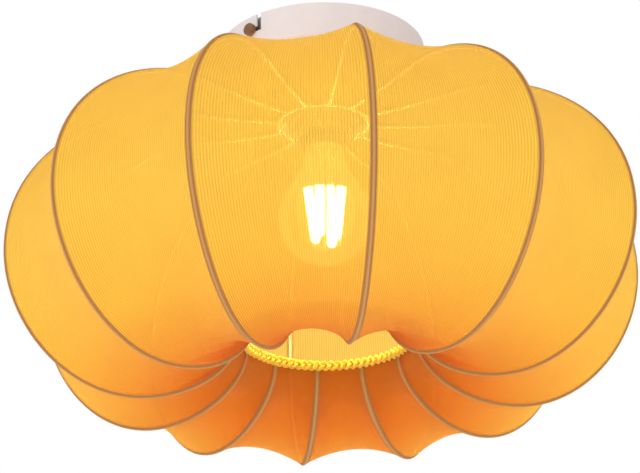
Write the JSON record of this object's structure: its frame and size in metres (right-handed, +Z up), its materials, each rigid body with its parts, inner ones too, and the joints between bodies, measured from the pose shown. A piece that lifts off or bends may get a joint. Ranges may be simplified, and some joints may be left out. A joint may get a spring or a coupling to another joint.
{
  "type": "flush-mount fabric lantern",
  "caption": "Round pumpkin-shaped ceiling lantern: ribbed yellow stretch fabric drawn over bent wire ribs between a hub ring and an open mouth, with a canopy, lampholder and bulb.",
  "frame": {"origin": "centre of the ceiling plane, on the fixing bar's top face between its two slots", "axes": "+Z up into the ceiling, +X along the fixing bar through the right thumb screw"},
  "size_m": [0.394, 0.394, 0.2415],
  "materials": {
    "bracket_steel": "zinc-plated pressed steel",
    "thumb_brass": "turned, knurled, copper-toned brass",
    "washer_steel": "plain",
    "canopy_white": "powder-coated white, satin",
    "nipple_zinc": "zinc-plated threaded tube",
    "block_plastic": "moulded, natural white",
    "live_insulation": "extruded insulation",
    "neutral_insulation": "extruded insulation",
    "earth_insulation": "extruded insulation",
    "holder_plastic": "moulded white thermoset",
    "porcelain": "glazed porcelain",
    "socket_brass": "stamped",
    "cap_nickel": "nickel-plated brass, rolled thread",
    "contact_solder": "solder bead",
    "cap_insulator": "black glass",
    "bulb_glass": "clear blown glass",
    "stem_glass": "clear pressed glass",
    "filament_phosphor": "phosphor-coated strip, lit",
    "lead_nickel": "drawn wire",
    "ring_steel": "welded wire, dipped cream white",
    "rib_wire": "spring-steel wire, dipped cream white",
    "fabric_yellow": "fine ribbed stretch fabric, drawn tight",
    "braid_cotton": "crocheted cotton braid"
  },
  "bodies": {
    "ceiling_bar": {"ceiling_bar": "bracket_steel"},
    "left_washer": {"left_washer": "washer_steel"},
    "left_screw": {"left_thumb_screw": "thumb_brass"},
    "right_washer": {"right_washer": "washer_steel"},
    "right_screw": {"right_thumb_screw": "thumb_brass"},
    "canopy": {"canopy": "canopy_white", "nipple": "nipple_zinc", "lock_washer": "bracket_steel", "nipple_nut": "bracket_steel", "terminal_block": "block_plastic", "live_wire": "live_insulation", "neutral_wire": "neutral_insulation", "earth_wire": "earth_insulation", "earth_stud": "nipple_zinc", "holder_cap": "holder_plastic", "holder_sleeve": "holder_plastic", "holder_core": "porcelain", "socket_shell": "socket_brass", "socket_contact": "socket_brass"},
    "shade": {"shade_carrier": "ring_steel", "top_ring": "ring_steel", "mouth_ring": "ring_steel", "mouth_braid": "braid_cotton", "rib_01": "rib_wire", "rib_02": "rib_wire", "rib_03": "rib_wire", "rib_04": "rib_wire", "rib_05": "rib_wire", "rib_06": "rib_wire", "rib_07": "rib_wire", "rib_08": "rib_wire", "rib_09": "rib_wire", "rib_10": "rib_wire", "rib_11": "rib_wire", "rib_12": "rib_wire", "fabric_gore_01": "fabric_yellow", "fabric_gore_02": "fabric_yellow", "fabric_gore_03": "fabric_yellow", "fabric_gore_04": "fabric_yellow", "fabric_gore_05": "fabric_yellow", "fabric_gore_06": "fabric_yellow", "fabric_gore_07": "fabric_yellow", "fabric_gore_08": "fabric_yellow", "fabric_gore_09": "fabric_yellow", "fabric_gore_10": "fabric_yellow", "fabric_gore_11": "fabric_yellow", "fabric_gore_12": "fabric_yellow"},
    "collar": {"shade_collar": "holder_plastic"},
    "bulb_tip": {"bulb_contact": "contact_solder", "bulb_insulator": "cap_insulator"},
    "bulb": {"bulb_cap": "cap_nickel", "bulb_glass": "bulb_glass", "bulb_stem": "stem_glass", "bulb_filaments": "filament_phosphor", "bulb_leads": "lead_nickel"}
  },
  "joints": [
    {"name": "left_screw_out", "type": "slide", "parent": "ceiling_bar", "child": "left_washer", "axis": [-1, 0, 0], "range_m": [0, 0.004]},
    {"name": "left_screw_turn", "type": "hinge", "parent": "left_washer", "child": "left_screw", "pos_m": [-0.07, 0, -0.01], "axis": [-1, 0, 0], "range_deg": [0, 2908.8]},
    {"name": "right_screw_out", "type": "slide", "parent": "ceiling_bar", "child": "right_washer", "axis": [1, 0, 0], "range_m": [0, 0.004]},
    {"name": "right_screw_turn", "type": "hinge", "parent": "right_washer", "child": "right_screw", "pos_m": [0.07, 0, -0.01], "axis": [1, 0, 0], "range_deg": [0, 2908.8]},
    {"name": "canopy_twist", "type": "hinge", "parent": "ceiling_bar", "child": "canopy", "pos_m": [0, 0, 0], "axis": [0, 0, -1], "range_deg": [0, 5.2]},
    {"name": "shade_lower", "type": "slide", "parent": "canopy", "child": "shade", "axis": [0, 0, -1], "range_m": [0, 0.007]},
    {"name": "collar_turn", "type": "hinge", "parent": "shade", "child": "collar", "pos_m": [0, 0, -0.0535], "axis": [0, 0, -1], "range_deg": [0, 1018.08]},
    {"name": "bulb_lower", "type": "slide", "parent": "canopy", "child": "bulb_tip", "axis": [0, 0, -1], "range_m": [0, 0.016]},
    {"name": "bulb_turn", "type": "hinge", "parent": "bulb_tip", "child": "bulb", "pos_m": [0, 0, -0.09], "axis": [0, 0, -1], "range_deg": [0, 1603.09]}
  ],
  "couplings": [
    {"joint": "left_screw_turn", "follows": "left_screw_out", "rad_per_m": 12566},
    {"joint": "right_screw_turn", "follows": "right_screw_out", "rad_per_m": 12566},
    {"joint": "collar_turn", "follows": "shade_lower", "rad_per_m": 2513.3},
    {"joint": "bulb_turn", "follows": "bulb_lower", "rad_per_m": 1731.4}
  ]
}
